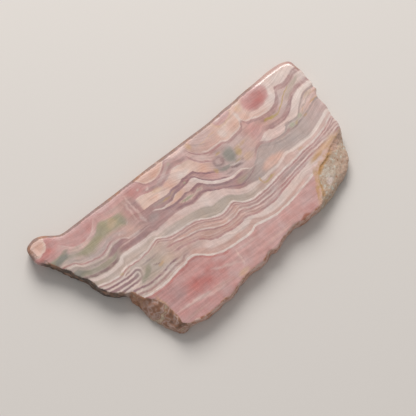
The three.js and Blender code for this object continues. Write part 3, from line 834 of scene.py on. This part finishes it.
def attributeOf(canvas, name):
    return addNode(canvas["tree"], "Attribute", attribute_name=name).outputs["Fac"]


def roughen(canvas, mask, value):
    canvas["rough"] = addNode(canvas["tree"], "Mix", {0: mask, 2: canvas["rough"], 3: value})


skins = {
    "ragged": 0.5,                 # mm, how far a stain strays from the rim
    "raggedScale": 0.9,            # clouds per mm
    "fade": 0.25,
    # where each skin lies, its colours by cloud level, the cloud's size, how much it hides, its roughness
    "kinds": [
        {"y": (-9, -12), "tones": [(0.34, "rust"), (0.43, "clay"), (0.52, "peach"), (0.62, "creamPeach")],
         "size": 2.0, "cover": 0.85, "rough": 0.5},
        # the strip along the sawn edge: a brownish skin whose tones are darkened to about half as painted
        # shade
        {"y": (15.5, 16.6), "tones": [(0.38, "clayDark"), (0.5, "shadedDun"), (0.62, "plum")], "size": 4.0,
         "cover": 0.9, "rough": 0.6},
        {"x": (27, 32), "y": (16.4, 17.6), "tones": [(0.4, "mauveRose"), (0.6, "salmon")], "size": 3.0,
         "cover": 0.7, "rough": 0.28},
        {"x": (-28.5, -30), "y": (15.5, 13.5), "size": 2.0, "cover": 0.92, "rough": 0.6,
         "tones": [(0.34, "soot"), (0.48, "umber"), (0.56, "bark"), (0.62, "clayDark")]},
        {"x": (-20.5, -22), "y": (-4.4, -5.4), "size": 2.6, "detail": 1.5, "cover": 0.92, "rough": 0.45,
         "tones": [(0.36, "bark"), (0.45, "clayDark"), (0.52, "ashPink"), (0.57, "clayDark"),
                   (0.64, "sand")]},
        {"x": (-25.5, -26.5), "y": (-10.5, -8.0), "below": (-4.4, -5.4), "size": 1.6, "cover": 0.7,
         "rough": 0.5, "tones": [(0.42, "clayDark"), (0.58, "clay")]},
    ],
    # the rounding beside the sawn edge lost its polish: mm from the side, and where along and across
    "rubbed": {"side": (1.3, 0.7), "y": (15.5, 16.3), "x": (31, 27), "rough": 0.5},
    "sawn": {"z": (0.3, 0.1), "rough": 0.45},      # the underside was only sawn
}


# the sides: the layers show through a stained, rubbed or crusted skin, and the strip along the sawn edge is
# darkened with painted shade
def paintSkin(canvas):
    tree = canvas["tree"]
    x, y, z = addNode(tree, "SeparateXYZ", {0: canvas["mm"]}).outputs
    fromSide = attributeOf(canvas, "fromSide")
    ragged = addNode(tree, "TexNoise", {"Vector": canvas["mm"], "Scale": skins["raggedScale"],
                                        "Detail": 3.0})
    edge = addNode(tree, "Math", {0: ragged, 1: skins["ragged"], 2: fromSide}, operation="MULTIPLY_ADD")
    onSkin = maskOf(canvas, (edge, skins["ragged"] / 2 + skins["fade"], skins["ragged"] / 2))
    for skin in skins["kinds"]:
        ramps = []
        for socket, key in ((x, "x"), (y, "y"), (y, "below")):
            if key in skin:
                ramps.append((socket, *skin[key]))
        region = maskOf(canvas, *ramps)
        mask = addNode(tree, "Math", {0: region, 1: onSkin}, operation="MULTIPLY")
        clouds = cloudyTones(canvas, skin["size"], skin["tones"], skin.get("detail", 4.0))
        lay(canvas, mask, clouds, skin["cover"])
        roughen(canvas, mask, skin["rough"])
    rubbed = skins["rubbed"]
    besideSaw = maskOf(canvas, (fromSide, *rubbed["side"]), (y, *rubbed["y"]), (x, *rubbed["x"]))
    roughen(canvas, besideSaw, rubbed["rough"])
    roughen(canvas, maskOf(canvas, (z, *skins["sawn"]["z"])), skins["sawn"]["rough"])


rockLook = {
    "ragged": 1.4,                 # mm, how far the rock's border strays
    "raggedScale": 0.8,            # clouds per mm
    "stainOut": 0.9,               # mm, reach of the iron stain into the layers
    "stainIn": (1.6, 0.4),         # mm inside the rock, where it is gone and where it is full
    "stainSize": 1.6,
    "stain": [(0.35, "ochre"), (0.5, "peach"), (0.65, "ochre")],
    "stainCover": 0.8,
    "tones": [(0.34, "clayDark"), (0.42, "sand"), (0.48, "stonePink"), (0.54, "sand"), (0.62, "quartz")],
    "grain": 0.8,                  # mm
    "seam": (0.12, 0.02),          # of a grain, from its border: where the dark between grains begins
    "seamTone": "fawn",
    "seamCover": 0.35,
    "spots": [
        ((32.5, -6.7), (6, 0.8), 28, "amber", 0.85, 0.9), ((28.2, -8.6), (2, 0.9), 15, "amber", 0.85, 0.9),
        ((36.5, -5.2), (3, 1), 24, "peach", 0.7, 0.9), ((26, -12), (0.6, 3.6), -18, "amber", 0.7, 0.9),
        ((30.5, -10.6), (2.2, 1.6), 20, "quartz", 0.4, 0.9), ((29, -12.3), (1, 0.8), 20, "white", 0.8, 0.9),
        ((34, -12), (4.5, 1.2), 42, "stonePink", 0.6, 0.9),
    ],
    "spotRagged": 1.6,             # how far a spot's border strays, in its own half width
    "rough": 0.75,
}


# the host rock: grains of quartz in stained clay, with an iron stain round it
def paintRock(canvas):
    tree = canvas["tree"]
    rock = attributeOf(canvas, "rock")
    ragged = addNode(tree, "TexNoise", {"Vector": canvas["mm"], "Scale": rockLook["raggedScale"],
                                        "Detail": 4.0})
    edge = addNode(tree, "Math", {0: ragged, 1: rockLook["ragged"], 2: rock}, operation="MULTIPLY_ADD")
    level = rockLook["ragged"] / 2
    gone, full = rockLook["stainIn"]
    stain = maskOf(canvas, (edge, level - rockLook["stainOut"], level), (edge, level + gone, level + full))
    lay(canvas, stain, cloudyTones(canvas, rockLook["stainSize"], rockLook["stain"]), rockLook["stainCover"])
    inRock = maskOf(canvas, (edge, level + 0.1, level + 0.5))
    lay(canvas, inRock, cloudyTones(canvas, rockLook["grain"], rockLook["tones"]))
    border = 1 + rockLook["spotRagged"] / 2
    for middle, half, turn, tone, strength, soft in rockLook["spots"]:
        # the third size is so great that a spot reaches all the way down
        local = addNode(tree, "Mapping", {0: canvas["strayed"], 1: (*middle, 0),
                                          2: (0, 0, math.radians(turn)), 3: (*half, 1e4)},
                        vector_type="TEXTURE")
        away = addNode(tree, "VectorMath", {0: local}, operation="LENGTH").outputs["Value"]
        rough = addNode(tree, "Math", {0: ragged, 1: rockLook["spotRagged"], 2: away},
                        operation="MULTIPLY_ADD")
        spot = maskOf(canvas, (rough, border + soft / 2, border - soft / 2))
        mask = addNode(tree, "Math", {0: spot, 1: inRock}, operation="MULTIPLY")
        lay(canvas, mask, linear(tones[tone]), strength)
    seams = addNode(tree, "TexVoronoi", {"Vector": canvas["mm"], "Scale": 1 / rockLook["grain"]},
                    feature="DISTANCE_TO_EDGE").outputs["Distance"]
    dark = maskOf(canvas, (seams, *rockLook["seam"]))
    mask = addNode(tree, "Math", {0: dark, 1: inRock}, operation="MULTIPLY")
    lay(canvas, mask, linear(tones[rockLook["seamTone"]]), rockLook["seamCover"])
    roughen(canvas, inRock, rockLook["rough"])


# fine relief, too small for the mesh: strong on broken and weathered stone, next to none on the polish
def reliefOf(canvas):
    tree = canvas["tree"]
    grit = addNode(tree, "TexNoise", {"Vector": canvas["mm"], "Scale": 1 / texture["gritSize"],
                                      "Detail": 3.0})
    strength = addNode(tree, "MapRange", {0: canvas["rough"], 1: face["polish"], 2: texture["matt"],
                                          3: texture["polishRelief"], 4: 1.0})
    depth = texture["gritDepth"] * mm
    return addNode(tree, "Bump", {"Height": grit, "Strength": strength, "Distance": depth})


# banded rhodochrosite, sawn and polished: the polish gives a clear soft gloss over flat bands of rose,
# cream and grey, and the broken edges and the host rock stay dull and rough
def makeStone():
    material = bpy.data.materials.new("polishedRhodochrosite")
    material.use_nodes = True
    tree = material.node_tree
    tree.nodes.clear()
    canvas = startFace(tree)
    canvas["colour"] = tonesAlong(canvas, roseZone)
    paintBands(canvas)
    paintThreads(canvas)
    paintPatches(canvas)
    paintTexture(canvas)
    paintSkin(canvas)
    paintRock(canvas)
    shader = addNode(tree, "BsdfPrincipled", {"Base Color": canvas["colour"], "Roughness": canvas["rough"],
                                              "IOR": face["ior"], "Normal": reliefOf(canvas)})
    addNode(tree, "OutputMaterial", {0: shader})
    print("stone material made,", len(tree.nodes), "nodes")
    return material


slicePiece.data.materials.clear()
slicePiece.data.materials.append(makeStone())
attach(slicePiece, "root")
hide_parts(sliceNode)


studio = {
    "aim": (0.07, 0.55),           # mm from the middle of the polished face
    "azimuth": -37.8,
    "elevation": 72.0,
    "distance": 330.0,             # mm
    "lens": 114.2,
    "clipStart": 10,               # mm
    "floorHalf": 600.0,            # mm
    "floorGap": 0.02,              # mm, between the floor and the underside
    "floorColour": "DAD7D2",
    "floorRoughness": 0.9,
    "worldColour": "F8F5F5",
    "worldStrength": 0.42,
    "softboxFrom": (0.36, 0.66, 0.66),
    "softboxDistance": 700.0,      # mm
    "softboxSize": 420.0,          # mm
    "softboxPower": 4.6,
    "softboxColour": "FFFAF7",
}


def makeFloor():
    floorMesh = bpy.data.meshes.new("floor")
    sheet = bmesh.new()
    bmesh.ops.create_grid(sheet, x_segments=1, y_segments=1, size=studio["floorHalf"] * mm)
    bmesh.ops.translate(sheet, verts=sheet.verts, vec=(0, 0, (sliceLow.z - studio["floorGap"]) * mm))
    sheet.to_mesh(floorMesh)
    sheet.free()
    # matt paper, pale and even, so that the slice's soft shadow shows on it
    paper = bpy.data.materials.new("palePaper")
    paper.use_nodes = True
    paperShader = paper.node_tree.nodes["Principled BSDF"]
    paperShader.inputs["Base Color"].default_value = linear(studio["floorColour"])
    paperShader.inputs["Roughness"].default_value = studio["floorRoughness"]
    floorMesh.materials.append(paper)
    floor = bpy.data.objects.new("floor", floorMesh)
    bpy.context.scene.collection.objects.link(floor)


def makeLight(aim):
    scene = bpy.context.scene
    world = bpy.data.worlds.new("studio")
    world.use_nodes = True
    background = world.node_tree.nodes["Background"]
    background.inputs["Color"].default_value = linear(studio["worldColour"])
    background.inputs["Strength"].default_value = studio["worldStrength"]
    scene.world = world
    softbox = bpy.data.lights.new("softbox", "AREA")
    softbox.shape = "SQUARE"
    softbox.size = studio["softboxSize"] * mm
    softbox.energy = studio["softboxPower"]
    softbox.color = linear(studio["softboxColour"])[:3]
    towards = Vector(studio["softboxFrom"]).normalized()
    lamp = bpy.data.objects.new("softbox", softbox)
    lamp.location = aim + towards * studio["softboxDistance"] * mm
    lamp.rotation_euler = towards.to_track_quat("Z", "Y").to_euler()
    scene.collection.objects.link(lamp)
    scene.view_settings.view_transform = "Standard"


def makeCamera(aim):
    scene = bpy.context.scene
    azimuth, elevation = math.radians(studio["azimuth"]), math.radians(studio["elevation"])
    back = Vector((math.sin(azimuth) * math.cos(elevation), -math.cos(azimuth) * math.cos(elevation),
                   math.sin(elevation)))
    cameraData = bpy.data.cameras.new("camera")
    cameraData.lens = studio["lens"]
    cameraData.sensor_width = 36
    cameraData.clip_start = studio["clipStart"] * mm
    camera = bpy.data.objects.new("camera", cameraData)
    camera.location = aim + back * studio["distance"] * mm
    camera.rotation_euler = (math.pi / 2 - elevation, 0, azimuth)
    scene.collection.objects.link(camera)
    scene.camera = camera


middleOfFace = (sliceLow + sliceHigh) / 2
aim = Vector((middleOfFace.x + studio["aim"][0], middleOfFace.y + studio["aim"][1], sliceHigh.z)) * mm
makeFloor()
makeLight(aim)
makeCamera(aim)
print("studio made")
